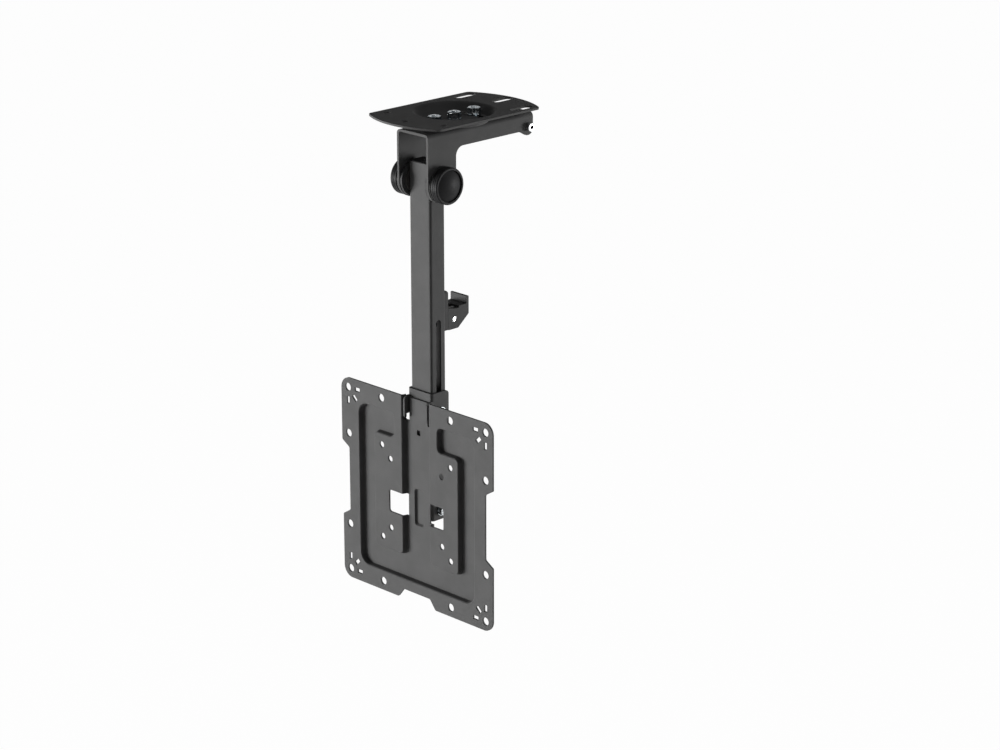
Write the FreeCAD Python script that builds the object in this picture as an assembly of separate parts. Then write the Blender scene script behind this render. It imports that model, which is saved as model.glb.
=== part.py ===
import FreeCAD, Part
import math
import os

# Fold-down ceiling mount for a flat screen.
# Frame: origin at the middle of the face that lies on the ceiling, X to the right,
# Y from the screen side towards the arm's free end, Z up. Millimetres.
# A dished plate goes on the ceiling, a bent bracket swivels under it, a square tube pole
# folds up against the bracket's arm, and a sleeve with the screen plate slides on the pole.

V = FreeCAD.Vector

# Clearances
RUN_GAP = 0.05          # flat or round faces that slide on each other
FREE_GAP = 0.3          # between pieces that move past each other
PASS_GAP = 0.2          # round a bolt in a hole of its own body

# Ceiling plate
CEILING_WIDTH = 101.0
CEILING_SIDE = 136.0    # length of the straight sides
CEILING_BULGE = 14.3    # how far each end bows out
CEILING_CORNER = 6.0
CEILING_T = 2.0
HOLE_FROM_SIDE = 10.4   # fixing holes to the straight side
HOLE_FROM_CORNER = 14.9 # fixing holes to the end of the straight side
END_HOLE_FROM_TIP = 15.6
ROUND_HOLE_R = 3.5
SLOT_W = 10.0
SLOT_L = 27.0

# Dish and swivel
GUIDE_RADIUS = 27.0     # guide bolts from the swivel axis
DISH_MARGIN = 7.5       # flat floor beyond the guide bolts
DISH_RUN = 5.5          # sloping wall, measured outwards
DISH_DEPTH = 8.7
DISH_BLEND = 2.2
SWIVEL_ANGLE = 45.0     # each way
SWIVEL_DISC_R = 19.0
SWIVEL_DISC_T = 1.45
DISH_NUT_AF = 12.0
DISH_NUT_H = 6.4
DISH_WASHER_R = 6.6
BOLT_R = 3.0            # all six millimetre bolts
NUT_AF = 10.0
NUT_H = 4.8
HEAD_H = 4.0
WASHER_R = 6.2
WASHER_T = 1.2
BOLT_TIP = 0.9          # bolt end beyond its nut

# Bracket
BRACKET_T = 2.5
BRACKET_FRONT = 19.0    # front edge from the hinge axis
BRACKET_BEND = 4.5
HINGE_Y = -38.0
HINGE_DROP = 52.0       # hinge axis below the web's top
LEG_R = 18.9            # round lower end of the legs
ARM_HEIGHT = 17.6       # web top to the arm's underside
ARM_REACH = 88.0        # arm's free end from the swivel axis
ARM_FILLET = 9.5
LUG_R = 6.5
LUG_DOWN = 8.5          # lug's underside below the catch pin's axis
LUG_BLEND = 12.0

# Catch pin at the arm's free end
PIN_R = 4.35
PIN_BORE_R = 2.2
PIN_FROM_END = 6.4
PIN_DROP = 14.2         # pin axis below the web's top
PIN_OUT = 5.0           # how far it stands out of each cheek
CLIP_R = 6.6
CLIP_T = 1.0

# Pole
POLE_W = 30.0
POLE_D = 20.0
POLE_WALL = 2.0
POLE_CORNER = 2.5
POLE_LENGTH = 366.5
POLE_ABOVE_HINGE = 19.2
PLUG_CAP_T = 1.2
PLUG_DEPTH = 3.0
PLUG_WALL = 1.6

# Hinge
HINGE_R = 6.0
BUSH_WALL = 2.2
INNER_WASHER_R = 18.4
INNER_WASHER_T = 3.0
PAD_R = 13.5
PAD_T = 1.2
DISC_R = 18.4
DISC_T = 1.5
FRICTION_R = 17.7
FRICTION_T = 1.2
CAP_R = 18.6
CAP_H = 8.25
CAP_EDGE = 1.0          # turned-over outer edge of the face
CAP_RIM_IN = 16.1       # inner edge of the flat rim
CAP_GROOVE_D = 2.2      # groove between the rim and the domed middle
CAP_DOME_OUT = 2.6      # top of the dome beyond the rim
CAP_DOME_R = 12.6       # round part of the dome
CAP_DOME_H = 2.8
CAP_SHOULDER_R = 15.4   # the dome's outer edge
CAP_SHOULDER_ROUND = 0.7
CAP_RIB_PITCH = 2.2
CAP_RIB_DEPTH = 0.35
CAP_RIBS = 2
HEX_AF = 19.0
HEX_H = 3.6

# Catch block on the pole
CATCH_HALF_W = 11.5
BASE_T = 7.0
BASE_ABOVE = 6.5        # base plate above the folded catch pin's axis
BASE_CORNER = 4.0
BASE_NOSE = 2.2         # slope along the base's upper edge
EAR_T = 1.8
EAR_REACH = 12.5
EAR_TOP = 0.3           # ears above the groove's floor
HOOK_WALL = 3.0
HOOK_LEDGE_T = 2.0
HOOK_DIP = 1.9          # side walls dip in front of the ledge
HOOK_DIP_RUN = 9.3
HOOK_TRAVEL = 8.0
SEAT_GAP = 0.45         # catch pin to the groove's floor when latched
OVER_GAP = 0.5          # catch pin over the finger when it swings in
FINGER_T = 3.0
FINGER_H = 18.6         # straight part of the hook's rear face
HOOK_LENGTH = 30.6
HOOK_FOOT = 13.4        # flat part of the hook's underside
LEDGE = 10.5            # groove floor in front of the finger
CROSS_PIN_R = 2.4
CROSS_PIN_UP = 9.9      # above the hook's underside
CROSS_PIN_FROM_POLE = 16.0
RIVET_R = 2.5
RIVET_HEAD_R = 4.4
RIVET_HEAD_T = 1.3

# Sleeve and height bolts
SLEEVE_GAP = 0.3        # sides of the pole
SLEEVE_FRONT_GAP = 0.25
SLEEVE_T = 2.0
SLEEVE_BEND = 3.0
SLEEVE_DEPTH = 23.55
SLEEVE_LENGTH = 135.7
SLEEVE_BELOW = 3.0      # sleeve beyond the pole's lower end
SLEEVE_CORNER = 4.0
LOWER_BOLT_UP = 10.0
UPPER_BOLT_DOWN = 21.6
HEIGHT_TRAVEL = 93.0
STOP_GAP = 0.5
POLE_SLOT_GAP = 0.4     # each side of a height bolt
TAB_DOWN = 7.6          # tabs on the sleeve from its top end
TAB_H = 18.8
TAB_NOSE = 4.7          # round upper front corner of each tab
TAB_HOOK_H = 3.6        # hook under its front edge
TAB_HOOK_T = 2.9

# Screen plate
GRID = 200.0            # outer fixing grid
GRID_MID = 100.0
GRID_SMALL = 75.0
GRID_ABOVE_END = 18.0   # middle of the grid above the sleeve's lower end
PLATE_MARGIN = 10.1     # edge beyond the outer grid
PLATE_T = 2.0
PLATE_CORNER = 12.0
RECESS_DEPTH = 4.75
DRAFT = 1.54            # inward run of the recess wall
RECESS_SIDE = 26.2      # flat rim beside the recess
RECESS_END = 21.7       # flat rim above and below it
RECESS_CORNER = 12.5
PAD_SIDE = 22.7         # recessed channel beside the raised pads
PAD_END = 26.7          # channel above and below them
PAD_CORNER = 5.0
STRIP_HALF = 19.8
BRIDGE_HALF = 31.5
BRIDGE_CORNER = 6.0
EDGE_ROUND = 0.7
BIG_HOLE_R = 4.3
SMALL_HOLE_R = 3.35
RAY_FROM_HOLE = 14.0
RAY_L = 7.6
RAY_W = 4.3
SIDE_NOTCH = 10.7
SIDE_NOTCH_HALF = 34.5
SIDE_NOTCH_SLOPE = 6.5
FOOT_NOTCH = 10.2
FOOT_NOTCH_HALF = 19.3
FOOT_NOTCH_SLOPE = 8.2
WINDOW_IN = 15.4
WINDOW_OUT = 40.0
WINDOW_LOW = -19.9
WINDOW_H = 24.0
TONGUE_HALF = 12.9
TONGUE_SHORT = 1.5      # strip ends this far below the plate's top edge
RELIEF_DOWN = 26.5
SQUARE_HOLE = 5.5
SQUARE_UP = 73.4
POCKET_HALF = 7.0
POCKET_LOW = -27.0
POCKET_H = 40.0
POCKET_DEPTH = 2.0
POCKET_CORNER = 3.5
WEB_NOTCH_HALF = 11.5

# Levels and places that follow from the sizes above
ceiling_tip = CEILING_SIDE / 2 + CEILING_BULGE
hole_x = CEILING_WIDTH / 2 - HOLE_FROM_SIDE
hole_y = CEILING_SIDE / 2 - HOLE_FROM_CORNER
end_hole_y = ceiling_tip - END_HOLE_FROM_TIP
floor_r = GUIDE_RADIUS + DISH_MARGIN
dish_r = floor_r + DISH_RUN
dish_under = -DISH_DEPTH - CEILING_T
web_top = dish_under - SWIVEL_DISC_T - RUN_GAP
web_under = web_top - BRACKET_T
hinge_z = web_top - HINGE_DROP
front_y = HINGE_Y - BRACKET_FRONT
pole_half = POLE_W / 2
pole_front = HINGE_Y - POLE_D / 2
pole_back = HINGE_Y + POLE_D / 2
pole_top = hinge_z + POLE_ABOVE_HINGE
pole_bottom = pole_top - POLE_LENGTH
cheek_in = pole_half + PAD_T + INNER_WASHER_T + 4 * RUN_GAP
cheek_out = cheek_in + BRACKET_T
pin_y = ARM_REACH - PIN_FROM_END
pin_z = web_top - PIN_DROP
# the catch pin as the folded pole meets it, in the pole's own hanging frame
pin_along = hinge_z - (pin_y - HINGE_Y)
pin_behind = HINGE_Y + (pin_z - hinge_z)
finger_in = pin_behind + PIN_R + FREE_GAP
finger_out = finger_in + FINGER_T
finger_top = pin_along - PIN_R - OVER_GAP
groove_floor = pin_along - PIN_R - HOOK_TRAVEL - SEAT_GAP
hook_low = finger_top - HOOK_LENGTH
base_out = pole_back + BASE_T
base_top = pin_along + BASE_ABOVE
ledge_in = finger_in - LEDGE
ear_end = base_out + EAR_REACH
ear_in = CATCH_HALF_W - HOOK_WALL - PASS_GAP - EAR_T
cross_y = pole_back + CROSS_PIN_FROM_POLE
cross_z = hook_low + CROSS_PIN_UP
sleeve_in = pole_half + SLEEVE_GAP
sleeve_out = sleeve_in + SLEEVE_T
sleeve_web_in = pole_front - SLEEVE_FRONT_GAP
sleeve_web_out = sleeve_web_in - SLEEVE_T
sleeve_back = sleeve_web_out + SLEEVE_DEPTH
sleeve_low = pole_bottom - SLEEVE_BELOW
sleeve_top = sleeve_low + SLEEVE_LENGTH
lower_bolt_z = sleeve_low + LOWER_BOLT_UP
upper_bolt_z = sleeve_top - UPPER_BOLT_DOWN
slot_half = BOLT_R + POLE_SLOT_GAP
slot_low = lower_bolt_z - BOLT_R - STOP_GAP
slot_top = upper_bolt_z + HEIGHT_TRAVEL + BOLT_R + STOP_GAP
grid_z = sleeve_low + GRID_ABOVE_END
floor_back = sleeve_web_out
floor_front = floor_back - PLATE_T
plate_front = floor_front - RECESS_DEPTH
plate_half = GRID / 2 + PLATE_MARGIN
recess_x = plate_half - RECESS_SIDE
recess_z = plate_half - RECESS_END
pad_x = recess_x - PAD_SIDE
pad_z = recess_z - PAD_END


# Helpers: rounded outlines, plates and round bodies
def on_xy(z):
    return lambda a, b: V(a, b, z)


def on_xz(y):
    return lambda a, b: V(a, y, b)


def on_yz(x):
    return lambda a, b: V(x, a, b)


def outline(points, place):
    """Closed wire through corners (a, b, radius); a radius of 0 keeps the corner sharp."""
    n = len(points)
    edges = []
    start = None
    last = None
    for i in range(n):
        p = V(points[i][0], points[i][1], 0)
        u = V(points[i - 1][0], points[i - 1][1], 0) - p
        w = V(points[(i + 1) % n][0], points[(i + 1) % n][1], 0) - p
        u.normalize()
        w.normalize()
        half = u.getAngle(w) / 2
        r = points[i][2]
        run = r / math.tan(half) if r else 0.0
        a = p + u * run
        b = p + w * run
        if last is not None and (a - last).Length > 1e-6:
            edges.append(Part.LineSegment(place(last.x, last.y), place(a.x, a.y)).toShape())
        if r:
            m = u + w
            m.normalize()
            c = p + m * (r / math.sin(half) - r)
            arc = Part.Arc(place(a.x, a.y), place(c.x, c.y), place(b.x, b.y))
            edges.append(arc.toShape())
        if start is None:
            start = a
        last = b
    if (start - last).Length > 1e-6:
        edges.append(Part.LineSegment(place(last.x, last.y), place(start.x, start.y)).toShape())
    return Part.Wire(edges)


def plate(points, place, along):
    return Part.Face(outline(points, place)).extrude(along)


def box(x0, x1, y0, y1, z0, z1):
    return Part.makeBox(x1 - x0, y1 - y0, z1 - z0, V(x0, y0, z0))


def rod(r, start, along):
    return Part.makeCylinder(r, along.Length, start, along)


def ring(r_out, r_in, start, along):
    return rod(r_out, start, along).cut(rod(r_in, start, along))


def turned(points, place, axis_at, axis):
    return Part.Face(outline(points, place)).revolve(axis_at, axis, 360)


def hexagon(af, height, centre, along):
    """Hexagon prism with its corners rounded off at the outer end, built along +Z."""
    r = af / 2 / math.cos(math.pi / 6)
    pts = [(r * math.cos(math.pi * k / 3), r * math.sin(math.pi * k / 3), 0) for k in range(6)]
    prism = plate(pts, on_xy(0), V(0, 0, height))
    cone_h = height + (r - af / 2) * 0.6
    cone = Part.makeCone(af / 2 + cone_h / 0.6, af / 2 - 0.2, cone_h, V(0, 0, height - cone_h))
    piece = prism.common(cone)
    piece.Placement = FreeCAD.Placement(centre, FreeCAD.Rotation(V(0, 0, 1), along))
    return piece


def mirror_x(shape):
    return shape.mirror(V(0, 0, 0), V(1, 0, 0))


def slot_cut(cx, cy, length, width, angle, z0, z1):
    """Upright cutter with round ends, its long side at an angle to X."""
    r = width / 2
    d = length / 2
    pts = [(-d, -r, r * 0.999), (d, -r, r * 0.999), (d, r, r * 0.999), (-d, r, r * 0.999)]
    cut = plate(pts, on_xy(z0), V(0, 0, z1 - z0))
    cut.rotate(V(0, 0, 0), V(0, 0, 1), angle)
    cut.translate(V(cx, cy, 0))
    return cut


# Ceiling plate: one pressed sheet with a dish for the swivel
def ceiling_blank():
    w = CEILING_WIDTH / 2
    big_r = (w * w + CEILING_BULGE * CEILING_BULGE) / (2 * CEILING_BULGE)
    blank = box(-w, w, -ceiling_tip, ceiling_tip, -CEILING_T, 0)
    for side in (-1, 1):
        middle = V(0, side * (ceiling_tip - big_r), -CEILING_T)
        blank = blank.common(rod(big_r, middle, V(0, 0, CEILING_T)))
    corners = [e for e in blank.Edges if abs(e.BoundBox.ZLength - CEILING_T) < 1e-6]
    return blank.makeFillet(CEILING_CORNER, corners)


def dish_section():
    t = CEILING_T
    slant = math.atan2(DISH_DEPTH, DISH_RUN)
    shift = t * math.tan(slant / 2)
    rim = dish_r + 2 * t
    b = DISH_BLEND
    return [(0, -DISH_DEPTH, 0), (floor_r, -DISH_DEPTH, b), (dish_r, 0, b + t), (rim, 0, 0),
            (rim, -t, 0), (dish_r - shift, -t, b), (floor_r - shift, -DISH_DEPTH - t, b + t),
            (0, -DISH_DEPTH - t, 0)]


def arc_slot(side):
    """Curved slot that a guide bolt runs along, with round ends."""
    r = BOLT_R + FREE_GAP
    z0 = dish_under - 1
    deep = V(0, 0, CEILING_T + 2)
    cut = ring(GUIDE_RADIUS + r, GUIDE_RADIUS - r, V(0, 0, z0), deep)
    half = math.radians(SWIVEL_ANGLE)
    reach = 3 * GUIDE_RADIUS
    wedge = [(0, 0, 0), (reach * math.sin(half), reach * math.cos(half), 0),
             (-reach * math.sin(half), reach * math.cos(half), 0)]
    cut = cut.common(plate(wedge, on_xy(z0), deep))
    for a in (-half, half):
        end = V(GUIDE_RADIUS * math.sin(a), GUIDE_RADIUS * math.cos(a), z0)
        cut = cut.fuse(rod(r, end, deep))
    if side < 0:
        cut.rotate(V(0, 0, 0), V(0, 0, 1), 180)
    return cut


def ceiling_plate():
    rim = dish_r + 2 * CEILING_T
    sheet = ceiling_blank().cut(rod(rim, V(0, 0, -CEILING_T), V(0, 0, CEILING_T)))
    dish = turned(dish_section(), on_xz(0), V(0, 0, 0), V(0, 0, 1))
    sheet = sheet.fuse(dish).removeSplitter()
    under = -CEILING_T - 1
    for side in (-1, 1):
        sheet = sheet.cut(arc_slot(side))
        sheet = sheet.cut(rod(ROUND_HOLE_R, V(side * hole_x, -hole_y, under), V(0, 0, CEILING_T + 2)))
        sheet = sheet.cut(slot_cut(side * hole_x, hole_y, SLOT_L, SLOT_W, 90, under, 1))
    sheet = sheet.cut(rod(ROUND_HOLE_R, V(0, -end_hole_y, under), V(0, 0, CEILING_T + 2)))
    sheet = sheet.cut(slot_cut(0, end_hole_y, SLOT_L, SLOT_W, 90, under, 1))
    middle = V(0, 0, dish_under - 1)
    return sheet.cut(rod(BOLT_R + RUN_GAP, middle, V(0, 0, CEILING_T + 2)))


# Swivel fasteners in the dish
def dish_places():
    return [V(0, y, 0) for y in (-GUIDE_RADIUS, 0, GUIDE_RADIUS)]


def swivel_disc():
    """Low-friction disc between the dish and the bracket."""
    disc = ring(SWIVEL_DISC_R, BOLT_R + PASS_GAP, V(0, 0, web_top), V(0, 0, SWIVEL_DISC_T))
    return disc


def dish_bolt(place):
    tip = -DISH_DEPTH + RUN_GAP + WASHER_T + DISH_NUT_H + BOLT_TIP
    shank = rod(BOLT_R, place + V(0, 0, web_under), V(0, 0, tip - web_under))
    ends = [e for e in shank.Edges if e.BoundBox.ZMin > tip - 0.01]
    shank = shank.makeChamfer(0.5, ends)
    return shank.fuse(hexagon(NUT_AF, HEAD_H, place + V(0, 0, web_under), V(0, 0, -1)))


def dish_nut(place):
    seat = place + V(0, 0, -DISH_DEPTH + RUN_GAP + WASHER_T)
    nut = hexagon(DISH_NUT_AF, DISH_NUT_H, seat, V(0, 0, 1))
    return nut.cut(rod(BOLT_R, seat, V(0, 0, DISH_NUT_H)))


def dish_washer(place):
    seat = place + V(0, 0, -DISH_DEPTH + RUN_GAP)
    return ring(DISH_WASHER_R, BOLT_R + PASS_GAP, seat, V(0, 0, WASHER_T))


# Bracket: one bent sheet with a web on top and two L-shaped cheeks
def cheek_outline():
    under = web_top - ARM_HEIGHT
    back = HINGE_Y + LEG_R
    lug_y = ARM_REACH - LUG_R
    low = pin_z - LUG_DOWN
    return [(front_y, web_top, 0), (front_y, hinge_z, 0), (front_y, hinge_z - LEG_R, LEG_R * 0.999),
            (back, hinge_z - LEG_R, LEG_R * 0.999), (back, under, ARM_FILLET),
            (lug_y - LUG_BLEND, under, LUG_BLEND), (lug_y - LUG_R * 0.45, low, LUG_R * 0.9),
            (ARM_REACH, low, LUG_R * 0.999), (ARM_REACH, web_top, 0)]


def hinge_bracket():
    body = plate(cheek_outline(), on_yz(-cheek_out), V(2 * cheek_out, 0, 0))
    long_edges = [e for e in body.Edges
                  if e.BoundBox.ZMin > web_top - 0.01 and e.BoundBox.YLength > ARM_REACH]
    body = body.makeFillet(BRACKET_BEND, long_edges)
    room = box(-cheek_in, cheek_in, front_y - 1, ARM_REACH + 1, hinge_z - LEG_R - 1, web_under)
    inner = [e for e in room.Edges
             if e.BoundBox.ZMin > web_under - 0.01 and e.BoundBox.YLength > ARM_REACH]
    body = body.cut(room.makeFillet(BRACKET_BEND - BRACKET_T, inner))
    across = V(2 * cheek_out + 2, 0, 0)
    body = body.cut(rod(HINGE_R + RUN_GAP, V(-cheek_out - 1, HINGE_Y, hinge_z), across))
    body = body.cut(rod(PIN_R + RUN_GAP, V(-cheek_out - 1, pin_y, pin_z), across))
    for place in dish_places():
        body = body.cut(rod(BOLT_R + PASS_GAP, place + V(0, 0, web_under - 1), V(0, 0, BRACKET_T + 2)))
    return body


# Catch pin: a tube across the arm's end, with a clip inside each cheek
def catch_pin():
    reach = cheek_out + PIN_OUT
    tube = ring(PIN_R, PIN_BORE_R, V(-reach, pin_y, pin_z), V(2 * reach, 0, 0))
    rims = [e for e in tube.Edges if e.BoundBox.XLength < 1e-6 and e.BoundBox.YLength > 2 * PIN_R - 0.1]
    return tube.makeChamfer(0.8, rims)


def pin_clip():
    start = V(cheek_in - CLIP_T - RUN_GAP, pin_y, pin_z)
    clip = ring(CLIP_R, PIN_R + RUN_GAP, start, V(CLIP_T, 0, 0))
    mouth = box(start.x - 1, cheek_in + 1, pin_y - PIN_R * 0.7, pin_y + PIN_R * 0.7,
                pin_z - CLIP_R - 1, pin_z)
    return clip.cut(mouth)


# Hinge: bolt, bush and the stacked discs on each side
def hinge_shaft_start():
    return cheek_out + DISC_T + FRICTION_T + 3 * RUN_GAP


def hinge_bolt():
    seat = hinge_shaft_start()
    shank = rod(HINGE_R, V(-seat - HEX_H, HINGE_Y, hinge_z), V(2 * seat + HEX_H, 0, 0))
    return shank.fuse(hexagon(HEX_AF, HEX_H, V(seat, HINGE_Y, hinge_z), V(1, 0, 0)))


def hinge_nut():
    seat = V(-hinge_shaft_start(), HINGE_Y, hinge_z)
    nut = hexagon(HEX_AF, HEX_H, seat, V(-1, 0, 0))
    return nut.cut(rod(HINGE_R, seat, V(-HEX_H, 0, 0)))


def hinge_cap():
    """Hand knob moulded over the hexagon: a domed middle in a flat rim, ribs round it."""
    x0 = hinge_shaft_start()
    x1 = x0 + CAP_H
    e = CAP_EDGE
    top = x1 + CAP_DOME_OUT
    lean = 2 * math.atan2(CAP_DOME_H, CAP_DOME_R)
    ball_r = CAP_DOME_R / math.sin(lean)
    edge = top - CAP_DOME_H - (CAP_SHOULDER_R - CAP_DOME_R) * math.tan(lean)
    floor = x1 - CAP_GROOVE_D
    pts = [(x0, 0, 0), (top, 0, 0), (top, ball_r * math.tan(lean / 2), ball_r),
           (edge, CAP_SHOULDER_R, CAP_SHOULDER_ROUND), (floor, CAP_SHOULDER_R, 0),
           (floor, CAP_RIM_IN, 0), (x1, CAP_RIM_IN, 0), (x1, CAP_R - e, 0),
           (x1 - 0.35 * e, CAP_R - 0.35 * e, 0), (x1 - e, CAP_R, 0)]
    for k in range(CAP_RIBS):
        x = x1 - e - CAP_RIB_PITCH * (k + 1)
        h = CAP_RIB_DEPTH
        pts += [(x + h, CAP_R, 0), (x, CAP_R - h, 0), (x - h, CAP_R, 0)]
    pts += [(x0 + 0.3, CAP_R, 0), (x0, CAP_R - 0.3, 0)]
    cap = turned(pts, on_xy(0), V(0, 0, 0), V(1, 0, 0))
    cap.translate(V(0, HINGE_Y, hinge_z))
    seat = V(x0 - 1, HINGE_Y, hinge_z)
    return cap.cut(hexagon(HEX_AF + 2 * PASS_GAP, HEX_H + FREE_GAP + 1, seat, V(1, 0, 0)))


def hinge_disc(r, start, thick):
    return ring(r, HINGE_R + PASS_GAP, V(start, HINGE_Y, hinge_z), V(thick, 0, 0))


def outer_disc():
    return hinge_disc(DISC_R, cheek_out + RUN_GAP, DISC_T)


def friction_disc():
    return hinge_disc(FRICTION_R, cheek_out + 2 * RUN_GAP + DISC_T, FRICTION_T)


def inner_washer():
    return hinge_disc(INNER_WASHER_R, pole_half + PAD_T + 2 * RUN_GAP, INNER_WASHER_T)


def inner_pad():
    return hinge_disc(PAD_R, pole_half + RUN_GAP, PAD_T)


def hinge_bush():
    start = V(-pole_half, HINGE_Y, hinge_z)
    return ring(HINGE_R + RUN_GAP + BUSH_WALL, HINGE_R + RUN_GAP, start, V(POLE_W, 0, 0))


# Pole: rectangular tube, slotted on both sides for the height bolts
def tube_outline(inset):
    x = pole_half - inset
    y0 = pole_front + inset
    y1 = pole_back - inset
    r = max(POLE_CORNER - inset, 0.4)
    return [(-x, y0, r), (x, y0, r), (x, y1, r), (-x, y1, r)]


def pole():
    tall = V(0, 0, POLE_LENGTH)
    tube = plate(tube_outline(0), on_xy(pole_bottom), tall)
    tube = tube.cut(plate(tube_outline(POLE_WALL), on_xy(pole_bottom), tall))
    r = slot_half
    pts = [(HINGE_Y - r, slot_low, r * 0.999), (HINGE_Y + r, slot_low, r * 0.999),
           (HINGE_Y + r, slot_top, r * 0.999), (HINGE_Y - r, slot_top, r * 0.999)]
    tube = tube.cut(plate(pts, on_yz(-pole_half - 1), V(POLE_W + 2, 0, 0)))
    bush_r = HINGE_R + BUSH_WALL + 2 * RUN_GAP
    tube = tube.cut(rod(bush_r, V(-pole_half - 1, HINGE_Y, hinge_z), V(POLE_W + 2, 0, 0)))
    for place in rivet_places():
        tube = tube.cut(rod(RIVET_R + RUN_GAP, place + V(0, -POLE_WALL - 1, 0), V(0, POLE_WALL + 2, 0)))
    return tube


def pole_plug(end, up):
    """Moulded plug: a cap over the tube's end and a hollow skirt inside it."""
    cap = plate(tube_outline(0), on_xy(end), V(0, 0, up * PLUG_CAP_T))
    rims = [e for e in cap.Edges if abs(e.BoundBox.ZMin - end - up * PLUG_CAP_T) < 1e-6
            and abs(e.BoundBox.ZMax - end - up * PLUG_CAP_T) < 1e-6]
    cap = cap.makeChamfer(0.5, rims)
    gap = POLE_WALL + RUN_GAP
    skirt = plate(tube_outline(gap), on_xy(end), V(0, 0, -up * PLUG_DEPTH))
    gap += PLUG_WALL
    z0, z1 = sorted((end, end - up * PLUG_DEPTH))
    hollow = box(-pole_half + gap, pole_half - gap, pole_front + gap, pole_back - gap, z0, z1)
    return cap.fuse(skirt.cut(hollow))


# Catch block: a base on the pole with two ears, and a hook that slides up over the catch pin
def rivet_places():
    high = base_top - BASE_NOSE - RIVET_HEAD_R
    low = hook_low + RIVET_HEAD_R + 2
    return [V(0, pole_back, high), V(0, pole_back, low)]


def catch_base():
    w = CATCH_HALF_W
    pts = [(-w, hook_low, 1.5), (w, hook_low, 1.5), (w, base_top, BASE_CORNER),
           (-w, base_top, BASE_CORNER)]
    base = plate(pts, on_xz(pole_back), V(0, BASE_T, 0))
    n = BASE_NOSE
    pts = [(base_out - 1.6 * n, base_top, 0), (base_out - 0.6 * n, base_top - 0.3 * n, 0),
           (base_out, base_top - n, 0), (base_out + 1, base_top + 1, 0)]
    base = base.cut(plate(pts, on_yz(-w - 1), V(2 * w + 2, 0, 0)))
    low = hook_low + 2
    high = groove_floor + EAR_TOP
    pts = [(pole_back + 1, low, 0), (ear_end, low, 4), (ear_end, high, 4), (pole_back + 1, high, 0)]
    for x in (-ear_in - EAR_T, ear_in):
        base = base.fuse(plate(pts, on_yz(x), V(EAR_T, 0, 0)))
    r = CROSS_PIN_R + PASS_GAP
    pts = [(cross_y - r, cross_z - r, r * 0.999), (cross_y + r, cross_z - r, r * 0.999),
           (cross_y + r, cross_z + HOOK_TRAVEL + r, r * 0.999),
           (cross_y - r, cross_z + HOOK_TRAVEL + r, r * 0.999)]
    base = base.cut(plate(pts, on_yz(-w), V(2 * w, 0, 0)))
    for place in rivet_places():
        base = base.cut(rod(RIVET_R + RUN_GAP, place, V(0, BASE_T, 0)))
    return base


def catch_rivet(place):
    """Countersunk at the outside, so the hook slides over it, and headed inside the tube."""
    depth = BASE_T + POLE_WALL
    inside = pole_back - POLE_WALL
    body = rod(RIVET_R, V(0, inside, place.z), V(0, depth, 0))
    head = Part.makeCone(RIVET_HEAD_R * 0.5, RIVET_HEAD_R, RIVET_HEAD_T,
                         V(0, inside - RIVET_HEAD_T, place.z), V(0, 1, 0))
    return body.fuse(head)


def catch_hook():
    w = CATCH_HALF_W
    near = base_out + PASS_GAP
    rear_low = finger_top - FINGER_H
    pts = [(near, hook_low, 0.6), (near + HOOK_FOOT, hook_low, 1.5), (finger_out, rear_low, 1.2),
           (finger_out, finger_top, 0.8), (finger_in, finger_top, 0.8), (finger_in, groove_floor, 0.8),
           (ledge_in, groove_floor, 0), (ledge_in, groove_floor - HOOK_DIP, 0),
           (near + HOOK_DIP_RUN, groove_floor - HOOK_DIP, 2), (near, groove_floor, 0)]
    hook = plate(pts, on_yz(-w), V(2 * w, 0, 0))
    side = w - HOOK_WALL
    under = groove_floor - HOOK_LEDGE_T
    relief = ear_end + FREE_GAP
    pts = [(near - 1, hook_low - 1, 0), (relief, hook_low - 1, 0), (relief, hook_low + 1, 0),
           (finger_in, rear_low + HOOK_WALL / 2, 1), (finger_in, under, 0), (ledge_in, under, 0),
           (ledge_in, groove_floor + 1, 0), (near - 1, groove_floor + 1, 0)]
    hook = hook.cut(plate(pts, on_yz(-side), V(2 * side, 0, 0)))
    return hook.cut(rod(CROSS_PIN_R + RUN_GAP, V(-w - 1, cross_y, cross_z), V(2 * w + 2, 0, 0)))


def catch_cross_pin():
    w = CATCH_HALF_W - 0.4
    return ring(CROSS_PIN_R, CROSS_PIN_R * 0.45, V(-w, cross_y, cross_z), V(2 * w, 0, 0))


# Sleeve: a bent channel open at the back, clamped to the pole by the height bolts
def sleeve_section(inset):
    x = sleeve_out - inset
    y0 = sleeve_web_out + inset
    r = SLEEVE_BEND - inset
    return [(-x, y0, r), (x, y0, r), (x, sleeve_back + inset, 0), (-x, sleeve_back + inset, 0)]


def sleeve_tab():
    top = sleeve_top - TAB_DOWN
    low = top - TAB_H
    back = sleeve_web_out + SLEEVE_BEND + 1
    hook = plate_front + TAB_HOOK_T
    pts = [(plate_front, low - TAB_HOOK_H, 2), (hook, low - TAB_HOOK_H, 0.5), (hook, low, 0),
           (back, low, 0), (back, top, 0), (plate_front, top, TAB_NOSE)]
    return plate(pts, on_yz(sleeve_in), V(SLEEVE_T, 0, 0))


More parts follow.
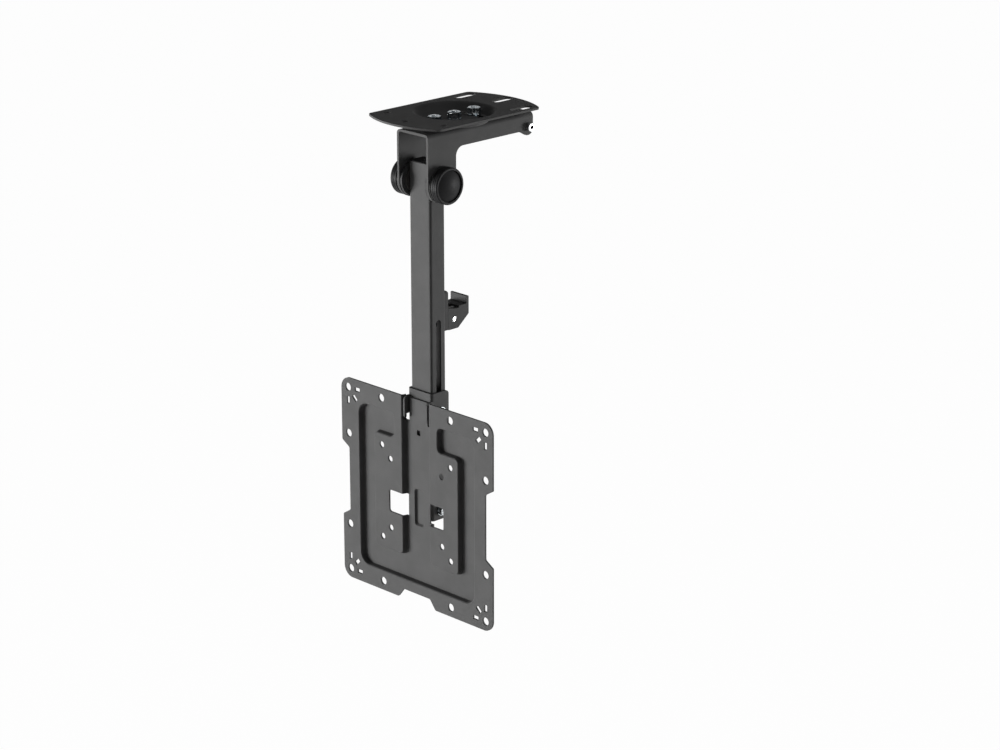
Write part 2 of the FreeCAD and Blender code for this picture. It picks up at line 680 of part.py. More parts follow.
def height_sleeve():
    tall = V(0, 0, SLEEVE_LENGTH)
    body = plate(sleeve_section(0), on_xy(sleeve_low), tall)
    body = body.cut(plate(sleeve_section(SLEEVE_T), on_xy(sleeve_low), tall))
    c = SLEEVE_CORNER
    pts = [(sleeve_web_out - 9, sleeve_low, 0), (sleeve_back, sleeve_low, c),
           (sleeve_back, sleeve_top, c), (sleeve_web_out - 9, sleeve_top, 0)]
    body = body.common(plate(pts, on_yz(-sleeve_out), V(2 * sleeve_out, 0, 0)))
    body = body.fuse(sleeve_tab()).fuse(mirror_x(sleeve_tab()))
    notch_top = grid_z + POCKET_LOW + POCKET_H + 3.5
    w = WEB_NOTCH_HALF
    pts = [(-w, sleeve_low - 5, 0), (w, sleeve_low - 5, 0), (w, notch_top, 3), (-w, notch_top, 3)]
    body = body.cut(plate(pts, on_xz(sleeve_web_out - 1), V(0, SLEEVE_T + 2, 0)))
    for z in (lower_bolt_z, upper_bolt_z):
        hole = rod(BOLT_R + PASS_GAP, V(-sleeve_out - 1, HINGE_Y, z), V(2 * sleeve_out + 2, 0, 0))
        body = body.cut(hole)
    return body.removeSplitter()


def height_washer(z):
    return ring(WASHER_R, BOLT_R + PASS_GAP, V(sleeve_out, HINGE_Y, z), V(WASHER_T, 0, 0))


def height_bolt(z):
    seat = sleeve_out + WASHER_T
    shank = rod(BOLT_R, V(-seat - NUT_H - BOLT_TIP, HINGE_Y, z), V(2 * seat + NUT_H + BOLT_TIP, 0, 0))
    return shank.fuse(hexagon(NUT_AF, HEAD_H, V(seat, HINGE_Y, z), V(1, 0, 0)))


def height_nut(z):
    seat = V(-sleeve_out - WASHER_T, HINGE_Y, z)
    return hexagon(NUT_AF, NUT_H, seat, V(-1, 0, 0)).cut(rod(BOLT_R, seat, V(-NUT_H, 0, 0)))


# Screen plate: one pressed sheet, its recess one connected channel round two raised pads
def recess_wire(inset, y):
    """Outline of the recess; inset moves every wall towards the channel's middle."""
    d = inset
    top = grid_z + plate_half + 6
    sx = STRIP_HALF - d
    right = [(sx, top, 0), (sx, grid_z - pad_z - d, PAD_CORNER + d),
             (pad_x + d, grid_z - pad_z - d, PAD_CORNER + d),
             (pad_x + d, grid_z + pad_z + d, PAD_CORNER + d),
             (BRIDGE_HALF + d, grid_z + pad_z + d, BRIDGE_CORNER - d),
             (BRIDGE_HALF + d, grid_z + recess_z - d, BRIDGE_CORNER - d),
             (recess_x - d, grid_z + recess_z - d, RECESS_CORNER - d),
             (recess_x - d, grid_z - recess_z + d, RECESS_CORNER - d)]
    left = [(-x, z, r) for x, z, r in reversed(right)]
    return outline(right + left, on_xz(y))


def recess_loft(stations):
    wires = [recess_wire(d, y) for d, y in stations]
    body = None
    for a, b in zip(wires[:-1], wires[1:]):
        part = Part.makeLoft([a, b], True, True)
        body = part if body is None else body.fuse(part)
    return body


def plate_blank(y0, thick):
    h = plate_half
    n = SIDE_NOTCH
    a = SIDE_NOTCH_HALF
    s = SIDE_NOTCH_SLOPE
    f = FOOT_NOTCH_HALF
    g = f + FOOT_NOTCH_SLOPE
    half = [(0, -h + FOOT_NOTCH, 0), (f, -h + FOOT_NOTCH, 2.5), (g, -h, 2), (h, -h, PLATE_CORNER),
            (h, -a - s, 2), (h - n, -a, 3), (h - n, a, 3), (h, a + s, 2), (h, h, PLATE_CORNER)]
    pts = [(x, grid_z + z, r) for x, z, r in half]
    pts += [(-x, z, r) for x, z, r in reversed(pts[1:])]
    return plate(pts, on_xz(y0), V(0, thick, 0))


def pocket(inset0, y0, inset1, y1):
    wires = []
    for d, y in ((inset0, y0), (inset1, y1)):
        w = POCKET_HALF - d
        z0 = grid_z + POCKET_LOW + d
        z1 = grid_z + POCKET_LOW + POCKET_H - d
        r = POCKET_CORNER - d * 0.6
        wires.append(outline([(-w, z0, r), (w, z0, r), (w, z1, r), (-w, z1, r)], on_xz(y)))
    return Part.makeLoft(wires, True, True)


def screen_holes():
    """Every round hole: outer grid, its middle holes, and the two inner grids on the pads."""
    g = GRID / 2
    m = GRID_MID / 2
    s = GRID_SMALL / 2
    places = []
    for sx in (-1, 1):
        for sz in (-1, 1):
            places += [(sx * g, sz * g, BIG_HOLE_R), (sx * m, sz * g, BIG_HOLE_R)]
            places += [(sx * g, sz * m, BIG_HOLE_R), (sx * m, sz * m, SMALL_HOLE_R)]
            places += [(sx * s, sz * s, SMALL_HOLE_R)]
    return places


def ray_slots():
    """Three short slots beside each corner hole, pointing at it."""
    cuts = []
    for sx in (-1, 1):
        for sz in (-1, 1):
            for dx, dz in ((1, 0), (math.sqrt(0.5), math.sqrt(0.5)), (0, 1)):
                x = sx * (GRID / 2 - RAY_FROM_HOLE * dx)
                z = sz * (GRID / 2 - RAY_FROM_HOLE * dz)
                cuts.append((x, z, math.degrees(math.atan2(sz * dz, sx * dx))))
    return cuts


def screen_plate():
    slope = DRAFT / RECESS_DEPTH
    wall = PLATE_T * math.sqrt(1 + slope * slope)
    back = RECESS_DEPTH + PLATE_T
    shell = recess_loft([(-wall, plate_front), (slope * back - wall, floor_back)])
    whole = plate_blank(plate_front, back)
    sheet = plate_blank(plate_front, PLATE_T).fuse(shell.common(whole))
    e = EDGE_ROUND
    punch = recess_loft([(-e, plate_front), (slope * e, plate_front + e), (DRAFT, floor_front)])
    sheet = sheet.cut(punch)
    sheet = sheet.fuse(pocket(-0.8, floor_back - 0.5, 1.2, floor_back + POCKET_DEPTH))
    sheet = sheet.cut(pocket(0, floor_front, POCKET_DEPTH, floor_front + POCKET_DEPTH))
    through = V(0, back + 4, 0)
    y0 = plate_front - 1
    for x, z, r in screen_holes():
        sheet = sheet.cut(rod(r, V(x, y0, grid_z + z), through))
    for x, z, angle in ray_slots():
        a = RAY_L / 2
        b = RAY_W / 2
        cut = plate([(-a, -b, 0.4), (a, -b, 0.4), (a, b, 0.4), (-a, b, 0.4)], on_xz(y0), through)
        cut.rotate(V(0, 0, 0), V(0, 1, 0), -angle)
        cut.translate(V(x, 0, grid_z + z))
        sheet = sheet.cut(cut)
    for side in (-1, 1):
        z0 = grid_z + WINDOW_LOW
        pts = [(side * WINDOW_IN, z0, 0.5), (side * WINDOW_OUT, z0, 3),
               (side * WINDOW_OUT, z0 + WINDOW_H, 3), (side * WINDOW_IN, z0 + WINDOW_H, 0.5)]
        sheet = sheet.cut(plate(pts, on_xz(y0), through))
        top = grid_z + plate_half
        pts = [(side * TONGUE_HALF, top - RELIEF_DOWN, 1), (side * STRIP_HALF, top - RELIEF_DOWN, 1),
               (side * STRIP_HALF, top + 5, 0), (side * TONGUE_HALF, top + 5, 0)]
        sheet = sheet.cut(plate(pts, on_xz(y0), through))
    top = grid_z + plate_half
    s = SQUARE_HOLE / 2
    sheet = sheet.cut(box(-s, s, y0, y0 + back + 4, grid_z + SQUARE_UP - s, grid_z + SQUARE_UP + s))
    trim = box(-TONGUE_HALF - 1, TONGUE_HALF + 1, y0, y0 + back + 4, top - TONGUE_SHORT, top + 9)
    return sheet.cut(trim).removeSplitter()


def pair(shape):
    return Part.makeCompound([shape, mirror_x(shape)])


def group(make, places):
    return Part.makeCompound([make(p) for p in places])


def save(name, shape):
    shape.exportStep(os.path.join("parts", name + ".step"))


def main():
    os.makedirs("parts", exist_ok=True)
    height_places = [lower_bolt_z, upper_bolt_z]
    save("ceiling_plate", ceiling_plate())
    save("swivel_disc", swivel_disc())
    save("swivel_bolt", dish_bolt(V(0, 0, 0)))
    save("guide_bolts", group(dish_bolt, [dish_places()[0], dish_places()[2]]))
    save("dish_washers", group(dish_washer, dish_places()))
    save("dish_nuts", group(dish_nut, dish_places()))
    save("hinge_bracket", hinge_bracket())
    save("catch_pin", catch_pin())
    save("catch_pin_clips", pair(pin_clip()))
    save("hinge_bolt", hinge_bolt())
    save("hinge_nut", hinge_nut())
    save("hinge_cap_right", hinge_cap())
    save("hinge_cap_left", mirror_x(hinge_cap()))
    save("outer_discs", pair(outer_disc()))
    save("friction_discs", pair(friction_disc()))
    save("inner_washers", pair(inner_washer()))
    save("inner_pads", pair(inner_pad()))
    save("hinge_bush", hinge_bush())
    save("pole", pole())
    save("pole_plug_top", pole_plug(pole_top, 1))
    save("pole_plug_bottom", pole_plug(pole_bottom, -1))
    save("catch_base", catch_base())
    save("catch_rivets", group(catch_rivet, rivet_places()))
    save("catch_hook", catch_hook())
    save("catch_cross_pin", catch_cross_pin())
    save("height_sleeve", height_sleeve())
    save("height_bolts", group(height_bolt, height_places))
    save("height_nuts", group(height_nut, height_places))
    washers = [height_washer(z) for z in height_places]
    save("height_washers", Part.makeCompound(washers + [mirror_x(w) for w in washers]))
    save("screen_plate", screen_plate())


main()
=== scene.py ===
import math

import bpy
from mathutils import Matrix, Vector


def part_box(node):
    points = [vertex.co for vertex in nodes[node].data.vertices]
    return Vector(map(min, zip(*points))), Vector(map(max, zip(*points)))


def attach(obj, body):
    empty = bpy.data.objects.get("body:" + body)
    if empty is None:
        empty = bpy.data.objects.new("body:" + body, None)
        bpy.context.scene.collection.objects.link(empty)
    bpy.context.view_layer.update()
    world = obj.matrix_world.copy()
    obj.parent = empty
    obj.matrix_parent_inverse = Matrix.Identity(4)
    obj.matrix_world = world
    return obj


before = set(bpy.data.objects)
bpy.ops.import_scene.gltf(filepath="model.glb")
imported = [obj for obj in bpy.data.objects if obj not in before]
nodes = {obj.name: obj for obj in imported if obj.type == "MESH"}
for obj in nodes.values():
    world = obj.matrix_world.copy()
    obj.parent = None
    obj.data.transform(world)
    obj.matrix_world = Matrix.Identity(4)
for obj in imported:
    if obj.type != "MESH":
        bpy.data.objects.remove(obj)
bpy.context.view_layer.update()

# Looks of a fold-down ceiling mount for a flat screen: powder-coated bent sheet, moulded knobs
# at the hinge, bright plated pins and bolts. Metres, in the frame of the CAD. The scale of a
# noise is in repeats per metre.

# Threads on the bolts' showing ends
BOLT_R = 0.003
GUIDE_RADIUS = 0.027    # guide bolts from the swivel axis
THREAD_START = 0.001    # inside the nut
THREAD_END = 0.0003     # short of the bolt's end
THREAD_PITCH = 0.0006
THREAD_RIDGE = 0.00022
HEX_HALF_ANGLE = math.radians(30.0)

# Weld beads between the height sleeve and the screen plate
WELD_BACK = -0.0494     # between the sleeve's rounded corner and the plate's back
WELD_RUNS = ((-0.3205, -0.3425), (-0.3640, -0.3860))
WELD_RIPPLE = 0.0010
WELD_BEAD_R = 0.00145
WELD_SEED = 7

# Tones, in linear light
COAT_TONE = (0.1, 0.1, 0.1)
CAST_TONE = (0.088, 0.088, 0.088)
DISC_TONE = (0.08, 0.08, 0.08)
KNOB_TONE = (0.028, 0.028, 0.029)
PLUG_TONE = (0.03, 0.03, 0.031)
SLIP_TONE = (0.05, 0.05, 0.048)
# Painted shade: near-black tone for the inside of the catch pin's bore
BORE_SHADE_TONE = (0.03, 0.03, 0.03)
PIN_BORE_R = 0.00227    # just over the bore of the catch pin
BORE_ROUGH = 0.75

# Stage
FLOOR_HALF = 30.0
FLOOR_Z = -4.0
FLOOR_WHITE = 0.98      # share of plain white that the camera sees on the floor
WALL_TOP = 0.05         # rise of a mirrored ray at which the white walls start to darken
CEILING_START = 0.42    # and at which they have become the ceiling
MOUNT_MIDDLE = (0.0, 0.0, -0.28)

# Camera at the photograph's viewing angle
CAMERA_AT = (1.954872, -1.889347, 0.627670)
CAMERA_RIGHT = (0.70670, 0.70751, 0.0)
CAMERA_BACK = (0.67156, -0.67079, 0.31475)
CAMERA_LENS = 101.887
CAMERA_SENSOR = 36.0

# Colour sockets of a Mix node
MIX_FIRST = 6
MIX_SECOND = 7
MIX_RESULT = 2


# Node helpers
def new_material(name):
    mat = bpy.data.materials.new(name)
    mat.use_nodes = True
    tree = mat.node_tree
    shader = tree.nodes["Principled BSDF"]
    return mat, tree, shader


def place_of(tree):
    return tree.nodes.new("ShaderNodeTexCoord").outputs["Object"]


def noise(tree, place, scale, detail, roughness=0.55):
    node = tree.nodes.new("ShaderNodeTexNoise")
    node.inputs["Scale"].default_value = scale
    node.inputs["Detail"].default_value = detail
    node.inputs["Roughness"].default_value = roughness
    tree.links.new(place, node.inputs["Vector"])
    return node.outputs["Fac"]


def map_range(tree, value, from_min, from_max, to_min, to_max):
    node = tree.nodes.new("ShaderNodeMapRange")
    for socket, number in zip(("From Min", "From Max", "To Min", "To Max"),
                              (from_min, from_max, to_min, to_max)):
        node.inputs[socket].default_value = number
    tree.links.new(value, node.inputs["Value"])
    return node.outputs["Result"]


def remap(tree, value, low, high):
    """Spreads a noise, most of which lies between 0.3 and 0.7, over low to high."""
    return map_range(tree, value, 0.3, 0.7, low, high)


def mix_colours(tree, fac, first, second):
    """Mixes two colours, each a tone or a socket."""
    node = tree.nodes.new("ShaderNodeMix")
    node.data_type = "RGBA"
    for index, colour in ((MIX_FIRST, first), (MIX_SECOND, second)):
        if isinstance(colour, tuple):
            node.inputs[index].default_value = (*colour, 1)
        else:
            tree.links.new(colour, node.inputs[index])
    tree.links.new(fac, node.inputs["Factor"])
    return node.outputs[MIX_RESULT]


def bump(tree, height, depth, strength, under=None):
    node = tree.nodes.new("ShaderNodeBump")
    node.inputs["Distance"].default_value = depth
    node.inputs["Strength"].default_value = strength
    tree.links.new(height, node.inputs["Height"])
    if under:
        tree.links.new(under, node.inputs["Normal"])
    return node.outputs["Normal"]


def math_node(tree, operation, a, b):
    node = tree.nodes.new("ShaderNodeMath")
    node.operation = operation
    for socket, value in zip(node.inputs, (a, b)):
        if isinstance(value, float):
            socket.default_value = value
        else:
            tree.links.new(value, socket)
    return node.outputs[0]


def shade_of(tone, share):
    return tuple(c * share for c in tone)


# Finishes
def powder_coat(name, tone, rough=0.52, grain=1500.0, grain_depth=0.00003):
    """Fine-textured black powder coat: a pebbled grain of about 0.6 mm over a soft unevenness."""
    mat, tree, shader = new_material(name)
    place = place_of(tree)
    pebbles = noise(tree, place, grain, detail=2.0, roughness=0.6)
    cloud = noise(tree, place, scale=38.0, detail=2.0)
    waves = noise(tree, place, scale=240.0, detail=2.0)
    colour = mix_colours(tree, remap(tree, cloud, 0, 1), shade_of(tone, 0.93), shade_of(tone, 1.07))
    tree.links.new(colour, shader.inputs["Base Color"])
    tree.links.new(remap(tree, pebbles, rough - 0.05, rough + 0.07), shader.inputs["Roughness"])
    soft = bump(tree, waves, depth=0.00004, strength=0.5)
    relief = bump(tree, pebbles, grain_depth, strength=0.8, under=soft)
    tree.links.new(relief, shader.inputs["Normal"])
    shader.inputs["Specular IOR Level"].default_value = 0.035
    return mat


def moulded_plastic(name, tone, rough=0.5, gloss=0.04):
    """Black moulded plastic with a spark-eroded texture."""
    mat, tree, shader = new_material(name)
    place = place_of(tree)
    sparks = noise(tree, place, scale=2600.0, detail=1.0)
    cloud = noise(tree, place, scale=70.0, detail=2.0)
    colour = mix_colours(tree, remap(tree, cloud, 0, 1), shade_of(tone, 0.9), tone)
    tree.links.new(colour, shader.inputs["Base Color"])
    tree.links.new(remap(tree, sparks, rough - 0.06, rough + 0.06), shader.inputs["Roughness"])
    relief = bump(tree, sparks, depth=0.000012, strength=0.7)
    tree.links.new(relief, shader.inputs["Normal"])
    shader.inputs["Specular IOR Level"].default_value = gloss
    return mat


def plated(name, dark, light, rough):
    """Plated steel: cloudy crystal patches over faint drawing marks."""
    mat, tree, shader = new_material(name)
    place = place_of(tree)
    cloud = noise(tree, place, scale=420.0, detail=4.0, roughness=0.6)
    marks = noise(tree, place, scale=3200.0, detail=1.0)
    patches = map_range(tree, cloud, from_min=0.42, from_max=0.58, to_min=0.0, to_max=1.0)
    tree.links.new(mix_colours(tree, patches, dark, light), shader.inputs["Base Color"])
    tree.links.new(remap(tree, cloud, rough * 0.75, rough * 1.35), shader.inputs["Roughness"])
    tree.links.new(bump(tree, marks, depth=0.000006, strength=0.6), shader.inputs["Normal"])
    shader.inputs["Metallic"].default_value = 1.0
    return mat


def from_axis(tree, y, z):
    """Distance of a place from the line along X through y and z."""
    split = tree.nodes.new("ShaderNodeSeparateXYZ")
    tree.links.new(place_of(tree), split.inputs[0])
    flat = tree.nodes.new("ShaderNodeCombineXYZ")
    tree.links.new(math_node(tree, "SUBTRACT", split.outputs["Y"], y), flat.inputs["X"])
    tree.links.new(math_node(tree, "SUBTRACT", split.outputs["Z"], z), flat.inputs["Y"])
    length = tree.nodes.new("ShaderNodeVectorMath")
    length.operation = "LENGTH"
    tree.links.new(flat.outputs[0], length.inputs[0])
    return length.outputs["Value"]


def pin_with_bore_shade(name, dark, light, rough):
    """Plated catch pin with painted shade in its bore: a near-black tone, not metallic and dull, round
    the pin's axis.
    """
    mat = plated(name, dark, light, rough)
    tree = mat.node_tree
    shader = tree.nodes["Principled BSDF"]
    low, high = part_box("catch_pin")
    reach = from_axis(tree, 0.5 * (low[1] + high[1]), 0.5 * (low[2] + high[2]))
    # Painted shade: inside this radius the pin gets the dark, dull, non-metallic bore tone
    outside_bore_shade = math_node(tree, "GREATER_THAN", reach, PIN_BORE_R)
    shine = shader.inputs["Base Color"].links[0].from_socket
    polish = shader.inputs["Roughness"].links[0].from_socket
    tree.links.new(mix_colours(tree, outside_bore_shade, BORE_SHADE_TONE, shine), shader.inputs["Base Color"])
    tree.links.new(outside_bore_shade, shader.inputs["Metallic"])
    dull = math_node(tree, "MULTIPLY", math_node(tree, "SUBTRACT", 1.0, outside_bore_shade), BORE_ROUGH)
    tree.links.new(math_node(tree, "MAXIMUM", polish, dull), shader.inputs["Roughness"])
    return mat


def blackened_steel(name, tone, rough=0.4):
    """Blackened steel with paler clouds."""
    mat, tree, shader = new_material(name)
    place = place_of(tree)
    cloud = noise(tree, place, scale=300.0, detail=4.0)
    marks = noise(tree, place, scale=2400.0, detail=1.0)
    colour = mix_colours(tree, remap(tree, cloud, 0, 1), tone, shade_of(tone, 1.5))
    tree.links.new(colour, shader.inputs["Base Color"])
    tree.links.new(remap(tree, cloud, rough - 0.05, rough + 0.1), shader.inputs["Roughness"])
    tree.links.new(bump(tree, marks, depth=0.000008, strength=0.6), shader.inputs["Normal"])
    shader.inputs["Metallic"].default_value = 0.7
    return mat


def friction_lining(name, dark, light):
    """Pressed fibre lining, dark with short paler fibres."""
    mat, tree, shader = new_material(name)
    fibre = noise(tree, place_of(tree), scale=1800.0, detail=5.0, roughness=0.7)
    tree.links.new(mix_colours(tree, remap(tree, fibre, 0, 1), dark, light), shader.inputs["Base Color"])
    tree.links.new(bump(tree, fibre, depth=0.00006, strength=0.9), shader.inputs["Normal"])
    shader.inputs["Roughness"].default_value = 0.85
    return mat


coat = powder_coat("powder_coat_black", COAT_TONE)
cast_coat = powder_coat("powder_coat_on_casting", CAST_TONE, rough=0.5, grain=1100.0, grain_depth=0.00005)
disc_coat = powder_coat("thin_coat_on_discs", DISC_TONE, rough=0.45, grain=1900.0, grain_depth=0.00002)
knob_plastic = moulded_plastic("knob_plastic", KNOB_TONE, rough=0.42, gloss=0.045)
plug_plastic = moulded_plastic("plug_plastic", PLUG_TONE)
slip_plastic = moulded_plastic("slip_disc_plastic", SLIP_TONE)
zinc = plated("zinc_plate", (0.20, 0.26, 0.30), (0.90, 0.94, 0.96), rough=0.15)
bright = plated("bright_plate", (0.66, 0.67, 0.68), (0.78, 0.78, 0.78), rough=0.14)
pin_plate = pin_with_bore_shade("pin_plate", (0.50, 0.51, 0.52), (0.66, 0.66, 0.66), rough=0.14)
dark_zinc = plated("black_zinc_plate", (0.05, 0.055, 0.06), (0.42, 0.44, 0.45), rough=0.2)
turned = plated("turned_steel", (0.50, 0.50, 0.50), (0.62, 0.62, 0.61), rough=0.3)
black_steel = blackened_steel("blackened_steel", (0.035, 0.035, 0.037))
spring_steel = blackened_steel("blackened_spring_steel", (0.03, 0.03, 0.032), rough=0.32)
lining = friction_lining("fibre_lining", (0.012, 0.011, 0.010), (0.05, 0.045, 0.04))

FINISHES = (
    (coat, ("ceiling_plate", "hinge_bracket", "pole", "height_sleeve", "screen_plate")),
    (cast_coat, ("catch_base", "catch_hook")),
    (disc_coat, ("outer_discs", "inner_washers")),
    (knob_plastic, ("hinge_cap_right", "hinge_cap_left")),
    (plug_plastic, ("pole_plug_top", "pole_plug_bottom")),
    (slip_plastic, ("swivel_disc",)),
    (zinc, ("swivel_bolt", "guide_bolts", "dish_washers", "dish_nuts")),
    (bright, ("catch_cross_pin",)),
    (pin_plate, ("catch_pin",)),
    (dark_zinc, ("height_bolts", "height_nuts", "height_washers")),
    (turned, ("hinge_bush",)),
    (black_steel, ("hinge_bolt", "hinge_nut", "catch_rivets")),
    (spring_steel, ("catch_pin_clips",)),
    (lining, ("friction_discs", "inner_pads")),
)


def dress(name, mat):
    mesh = nodes[name].data
    mesh.materials.clear()
    mesh.materials.append(mat)


for finish, pieces in FINISHES:
    for piece_name in pieces:
        dress(piece_name, finish)


# Pieces that repeat, grown by Geometry Nodes on a few points or lines
def grown_tree(name, inputs):
    """An empty tree that takes the points to grow on and the named sizes."""
    tree = bpy.data.node_groups.new(name, "GeometryNodeTree")
    tree.interface.new_socket("Geometry", in_out="INPUT", socket_type="NodeSocketGeometry")
    tree.interface.new_socket("Geometry", in_out="OUTPUT", socket_type="NodeSocketGeometry")
    for label, kind in inputs:
        tree.interface.new_socket(label, in_out="INPUT", socket_type="NodeSocket" + kind)
    return tree, tree.nodes.new("NodeGroupInput").outputs, tree.nodes.new("NodeGroupOutput").inputs


def close_tree(tree, instances, mat, out):
    """Ends the tree: instances made real and given their material."""
    realize = tree.nodes.new("GeometryNodeRealizeInstances")
    paint = tree.nodes.new("GeometryNodeSetMaterial")
    paint.inputs["Material"].default_value = mat
    tree.links.new(instances, realize.inputs["Geometry"])
    tree.links.new(realize.outputs["Geometry"], paint.inputs["Geometry"])
    tree.links.new(paint.outputs["Geometry"], out["Geometry"])


def rolled_thread(mat):
    """A thread ridge on each point, from inside the nut to the bolt's end."""
    tree, sizes, out = grown_tree("rolled_thread", (
        ("Thread Radius", "Float"), ("Pitch", "Float"), ("Length", "Float"), ("Ridge", "Float"),
        ("Lean", "Vector")))
    spiral = tree.nodes.new("GeometryNodeCurveSpiral")
    spiral.inputs["Resolution"].default_value = 40
    turns = math_node(tree, "DIVIDE", sizes["Length"], sizes["Pitch"])
    tree.links.new(turns, spiral.inputs["Rotations"])
    tree.links.new(sizes["Thread Radius"], spiral.inputs["Start Radius"])
    tree.links.new(sizes["Thread Radius"], spiral.inputs["End Radius"])
    tree.links.new(sizes["Length"], spiral.inputs["Height"])
    flank = tree.nodes.new("GeometryNodeCurvePrimitiveCircle")
    flank.inputs["Resolution"].default_value = 6
    tree.links.new(sizes["Ridge"], flank.inputs["Radius"])
    sweep = tree.nodes.new("GeometryNodeCurveToMesh")
    sweep.inputs["Fill Caps"].default_value = True
    tree.links.new(spiral.outputs["Curve"], sweep.inputs["Curve"])
    tree.links.new(flank.outputs["Curve"], sweep.inputs["Profile Curve"])
    place = tree.nodes.new("GeometryNodeInstanceOnPoints")
    tree.links.new(sizes["Geometry"], place.inputs["Points"])
    tree.links.new(sweep.outputs["Mesh"], place.inputs["Instance"])
    tree.links.new(sizes["Lean"], place.inputs["Rotation"])
    close_tree(tree, place.outputs["Instances"], mat, out)
    return tree


def weld_bead(mat):
    """Overlapping ripples of a weld along each line."""
    tree, sizes, out = grown_tree("weld_bead", (
        ("Ripple", "Float"), ("Bead Radius", "Float"), ("Seed", "Int")))
    path = tree.nodes.new("GeometryNodeMeshToCurve")
    steps = tree.nodes.new("GeometryNodeResampleCurve")
    steps.mode = "LENGTH"
    tree.links.new(sizes["Geometry"], path.inputs["Mesh"])
    tree.links.new(path.outputs["Curve"], steps.inputs["Curve"])
    tree.links.new(sizes["Ripple"], steps.inputs["Length"])
    drop = tree.nodes.new("GeometryNodeMeshUVSphere")
    drop.inputs["Segments"].default_value = 14
    drop.inputs["Rings"].default_value = 9
    tree.links.new(sizes["Bead Radius"], drop.inputs["Radius"])
    size = tree.nodes.new("FunctionNodeRandomValue")
    size.data_type = "FLOAT_VECTOR"
    size.inputs["Min"].default_value = (0.9, 0.9, 0.8)
    size.inputs["Max"].default_value = (1.02, 1.02, 1.0)
    tree.links.new(sizes["Seed"], size.inputs["Seed"])
    place = tree.nodes.new("GeometryNodeInstanceOnPoints")
    tree.links.new(steps.outputs["Curve"], place.inputs["Points"])
    tree.links.new(drop.outputs["Mesh"], place.inputs["Instance"])
    tree.links.new(size.outputs["Value"], place.inputs["Scale"])
    close_tree(tree, place.outputs["Instances"], mat, out)
    return tree


def grow(name, body, tree, points, lines, sizes):
    """Turns what the tree grows on the points or lines into one plain mesh that rides on the body."""
    seed = bpy.data.meshes.new(name + "_places")
    seed.from_pydata(points, lines, [])
    piece = bpy.data.objects.new(name, seed)
    bpy.context.scene.collection.objects.link(piece)
    growth = piece.modifiers.new("growth", "NODES")
    growth.node_group = tree
    for socket in tree.interface.items_tree:
        if socket.in_out == "INPUT" and socket.name in sizes:
            growth[socket.identifier] = sizes[socket.name]
    ready = piece.evaluated_get(bpy.context.evaluated_depsgraph_get())
    mesh = bpy.data.meshes.new_from_object(ready)
    piece.modifiers.clear()
    piece.data = mesh
    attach(piece, body)


def dish_threads():
    nut_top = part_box("dish_nuts")[1][2]
    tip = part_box("guide_bolts")[1][2]
    low = nut_top - THREAD_START
    points = [(0.0, y, low) for y in (-GUIDE_RADIUS, 0.0, GUIDE_RADIUS)]
    grow("dish_bolt_threads", "bracket", rolled_thread(zinc), points, [], {
        "Thread Radius": BOLT_R, "Pitch": THREAD_PITCH, "Length": tip - THREAD_END - low,
        "Ridge": THREAD_RIDGE, "Lean": (0.0, 0.0, 0.0)})


def height_threads():
    low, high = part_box("height_nuts")
    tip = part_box("height_bolts")[0][0]
    start = low[0] + THREAD_START
    across = 0.5 * (low[1] + high[1])
    half_nut = 0.5 * (high[1] - low[1])
    nut_up = half_nut / math.cos(HEX_HALF_ANGLE)
    points = [(start, across, low[2] + nut_up), (start, across, high[2] - nut_up)]
    grow("height_bolt_threads", "screen", rolled_thread(dark_zinc), points, [], {
        "Thread Radius": BOLT_R, "Pitch": THREAD_PITCH, "Length": start - tip - THREAD_END,
        "Ridge": THREAD_RIDGE, "Lean": (0.0, math.radians(-90.0), 0.0)})


def sleeve_welds():
    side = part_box("height_sleeve")[1][0]
    points = [(x, WELD_BACK, z) for x in (-side, side) for run in WELD_RUNS for z in run]
    lines = [(k, k + 1) for k in range(0, len(points), 2)]
    grow("sleeve_weld_beads", "screen", weld_bead(coat), points, lines, {
        "Ripple": WELD_RIPPLE, "Bead Radius": WELD_BEAD_R, "Seed": WELD_SEED})


# Stage: a pale floor far below the mount, white where the camera or a mirror sees it
def seen_directly(tree, mirrored=1.0):
    """1 for rays of the camera and see-through rays, mirrored for glossy rays, 0 for the rest."""
    path = tree.nodes.new("ShaderNodeLightPath")
    glossy = math_node(tree, "MULTIPLY", path.outputs["Is Glossy Ray"], mirrored)
    clear = path.outputs["Is Transmission Ray"]
    first = math_node(tree, "MAXIMUM", path.outputs["Is Camera Ray"], glossy)
    return math_node(tree, "MAXIMUM", first, clear)


def pale_floor():
    corners = ((-1, -1), (1, -1), (1, 1), (-1, 1))
    mesh = bpy.data.meshes.new("floor")
    mesh.from_pydata([(x * FLOOR_HALF, y * FLOOR_HALF, FLOOR_Z) for x, y in corners], [], [(0, 1, 2, 3)])
    floor = bpy.data.objects.new("floor", mesh)
    bpy.context.scene.collection.objects.link(floor)
    mat, tree, shader = new_material("pale_floor")
    shader.inputs["Base Color"].default_value = (0.8, 0.8, 0.8, 1)
    shader.inputs["Roughness"].default_value = 0.9
    glow = tree.nodes.new("ShaderNodeEmission")
    glow.inputs["Strength"].default_value = 1.0
    mix = tree.nodes.new("ShaderNodeMixShader")
    tree.links.new(math_node(tree, "MULTIPLY", seen_directly(tree), FLOOR_WHITE), mix.inputs[0])
    tree.links.new(shader.outputs[0], mix.inputs[1])
    tree.links.new(glow.outputs[0], mix.inputs[2])
    tree.links.new(mix.outputs[0], tree.nodes["Material Output"].inputs["Surface"])
    mesh.materials.append(mat)


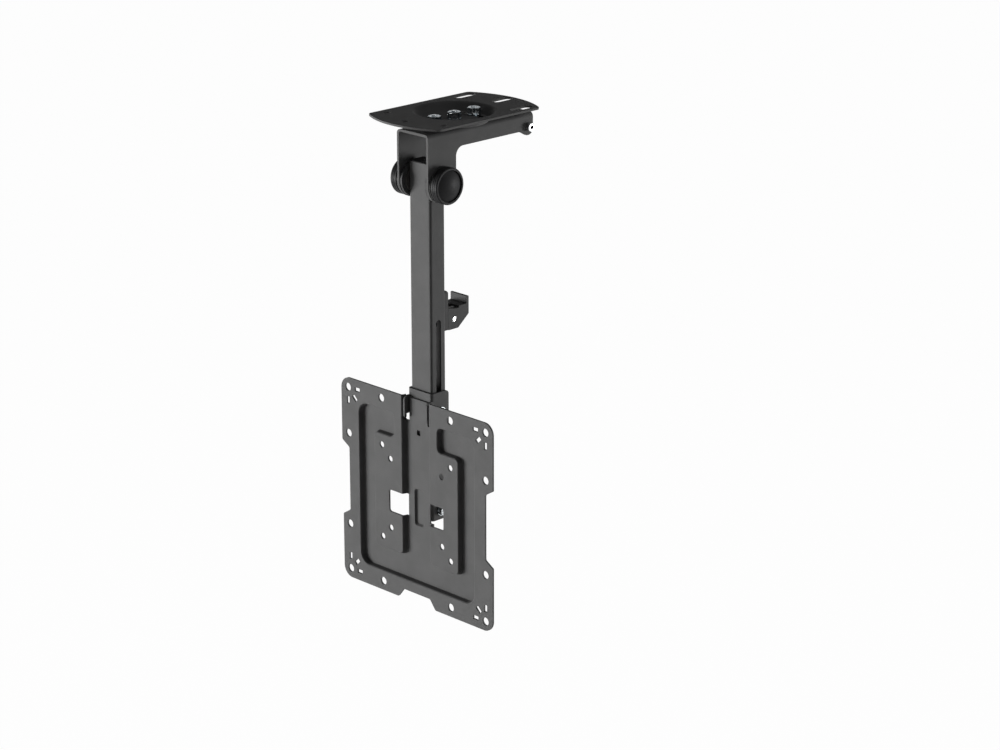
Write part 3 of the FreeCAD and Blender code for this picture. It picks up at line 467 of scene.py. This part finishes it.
def white_world(ambient, glow, ceiling):
    """White all round, with a soft glow from above; mirrors see a darker ceiling."""
    world = bpy.data.worlds.new("studio")
    world.use_nodes = True
    tree = world.node_tree
    back = tree.nodes["Background"]
    back.inputs["Color"].default_value = (1, 1, 1, 1)
    split = tree.nodes.new("ShaderNodeSeparateXYZ")
    tree.links.new(tree.nodes.new("ShaderNodeTexCoord").outputs["Generated"], split.inputs[0])
    walls = map_range(tree, split.outputs["Z"], WALL_TOP, CEILING_START, 1.0, ceiling)
    soft = map_range(tree, split.outputs["Z"], 0.0, 1.0, ambient, glow)
    strength = math_node(tree, "MAXIMUM", soft, seen_directly(tree, walls))
    tree.links.new(strength, back.inputs["Strength"])
    bpy.context.scene.world = world


def soft_lamp(name, at, width, height, power):
    """A rectangular lamp that faces the middle of the mount."""
    light = bpy.data.lights.new(name, "AREA")
    light.shape = "RECTANGLE"
    light.size = width
    light.size_y = height
    light.energy = power
    lamp = bpy.data.objects.new(name, light)
    turn = (Vector(MOUNT_MIDDLE) - Vector(at)).to_track_quat("-Z", "Y")
    lamp.matrix_world = Matrix.Translation(Vector(at)) @ turn.to_matrix().to_4x4()
    bpy.context.scene.collection.objects.link(lamp)


def camera():
    data = bpy.data.cameras.new("camera")
    data.sensor_fit = "HORIZONTAL"
    data.sensor_width = CAMERA_SENSOR
    data.lens = CAMERA_LENS
    data.clip_start = 0.05
    data.clip_end = 200.0
    cam = bpy.data.objects.new("camera", data)
    right = Vector(CAMERA_RIGHT).normalized()
    back = Vector(CAMERA_BACK).normalized()
    up = back.cross(right)
    turn = Matrix((right, up, back)).transposed().to_4x4()
    cam.matrix_world = Matrix.Translation(CAMERA_AT) @ turn
    bpy.context.scene.collection.objects.link(cam)
    bpy.context.scene.camera = cam


camera()
dish_threads()
height_threads()
sleeve_welds()
pale_floor()
white_world(ambient=0.004, glow=0.14, ceiling=0.03)
soft_lamp("left_lamp", at=(-7.6, -5.2, -1.7), width=4.2, height=3.2, power=1370.0)
soft_lamp("right_lamp", at=(5.6, 7.2, -1.4), width=3.4, height=3.2, power=545.0)
soft_lamp("top_lamp", at=(1.9, 0.9, 2.3), width=2.0, height=2.0, power=11.0)

bpy.context.scene.view_settings.view_transform = "Standard"
